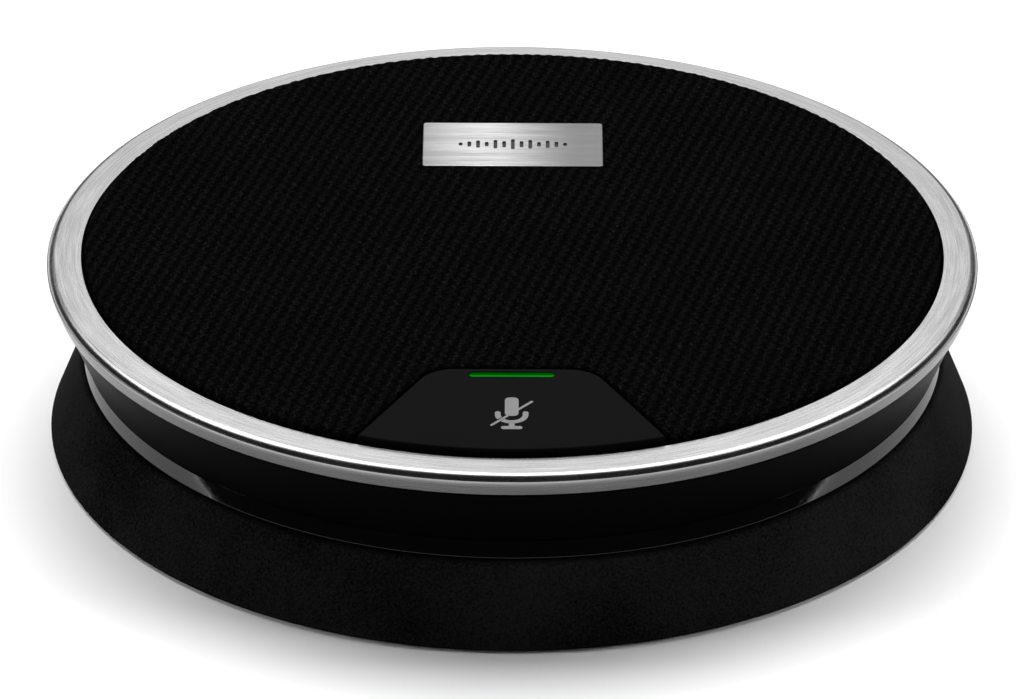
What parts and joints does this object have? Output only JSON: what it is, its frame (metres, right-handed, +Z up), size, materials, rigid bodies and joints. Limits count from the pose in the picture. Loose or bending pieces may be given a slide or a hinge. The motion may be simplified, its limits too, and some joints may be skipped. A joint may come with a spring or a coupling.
{
  "type": "conference speakerphone",
  "caption": "Round table speakerphone with a cloth top, brushed trim ring, mute key with a light bar, and a weighted flared base.",
  "frame": {"origin": "centre of the foot ring, on the table top", "axes": "+Z up along the axis of the round body; the mute key faces -Y and the cable socket faces +Y; +X to the right seen from the key side"},
  "size_m": [0.1202, 0.1202, 0.0278],
  "materials": {
    "brushed_ring": "circular brushed, satin",
    "brushed_badge": "straight brushed along its length",
    "cloth": "acoustic cloth, steep twill ribs",
    "key_plastic": "soft matte",
    "icon_print": "light grey inlay",
    "status_light": "translucent, lit green",
    "neck_plastic": "satin",
    "gloss_plastic": "polished black",
    "base_plastic": "fine spark-eroded texture",
    "inner_plastic": "moulded",
    "seal_rubber": "matte",
    "foot_rubber": "matte, fine grain",
    "ballast_steel": "plain rolled",
    "circuit_board": "solder resist over glass laminate",
    "led_body": "clear resin",
    "ribbon": "flat flexible cable",
    "connector_plastic": "moulded",
    "speaker_steel": "zinc plated, dark",
    "ferrite": "sintered",
    "copper_coil": "enamelled wire on a former",
    "paper_cone": "coated paper",
    "spider_cloth": "resin-treated cotton",
    "microphone_metal": "drawn can",
    "chip_resin": "moulded epoxy",
    "shield_metal": "tinned sheet",
    "socket_metal": "nickel plated",
    "screw_steel": "zinc plated"
  },
  "bodies": {
    "housing": {"badge_plate": "brushed_badge", "ballast_plate": "ballast_steel", "base_screws": "screw_steel", "base_shell": "base_plastic", "board_chips": "chip_resin", "board_screws": "screw_steel", "bottom_plate": "base_plastic", "capacitors": "shield_metal", "foot_ring": "foot_rubber", "gloss_band": "gloss_plastic", "grille_cloth": "cloth", "grille_frame": "inner_plastic", "housing_screws": "screw_steel", "housing_seal": "seal_rubber", "key_board": "circuit_board", "key_board_screws": "screw_steel", "key_ribbon": "ribbon", "main_board": "circuit_board", "microphone_boots": "seal_rubber", "microphones": "microphone_metal", "port_gasket": "seal_rubber", "ribbon_connectors": "connector_plastic", "shield_can": "shield_metal", "socket_shell": "socket_metal", "socket_tongue": "connector_plastic", "speaker_basket": "speaker_steel", "speaker_gasket": "seal_rubber", "speaker_magnet": "ferrite", "speaker_screws": "screw_steel", "speaker_spider": "spider_cloth", "speaker_surround": "seal_rubber", "speaker_top_plate": "speaker_steel", "speaker_yoke": "speaker_steel", "status_leds": "led_body", "switch_body": "inner_plastic", "trim_ring": "brushed_ring", "upper_housing": "neck_plastic"},
    "mute_key": {"mute_key_cap": "key_plastic", "mute_icon": "icon_print", "light_guide": "status_light"},
    "switch_tip": {"switch_plunger": "inner_plastic"},
    "speaker_cone_body": {"speaker_cone": "paper_cone", "dust_cap": "paper_cone", "voice_coil": "copper_coil"}
  },
  "joints": [
    {"name": "mute_key_press", "type": "slide", "parent": "housing", "child": "mute_key", "axis": [0, 0, -1], "range_m": [0, 0.0005], "stiffness_N_per_m": 4000},
    {"name": "switch_tip_press", "type": "slide", "parent": "housing", "child": "switch_tip", "axis": [0, 0, -1], "range_m": [0, 0.0005]},
    {"name": "cone_travel", "type": "slide", "parent": "housing", "child": "speaker_cone_body", "axis": [0, 0, 1], "range_m": [-0.001, 0.001], "stiffness_N_per_m": 1500, "deforming": ["speaker_surround", "speaker_spider"]}
  ],
  "couplings": [
    {"joint": "switch_tip_press", "follows": "mute_key_press", "ratio": 1}
  ]
}
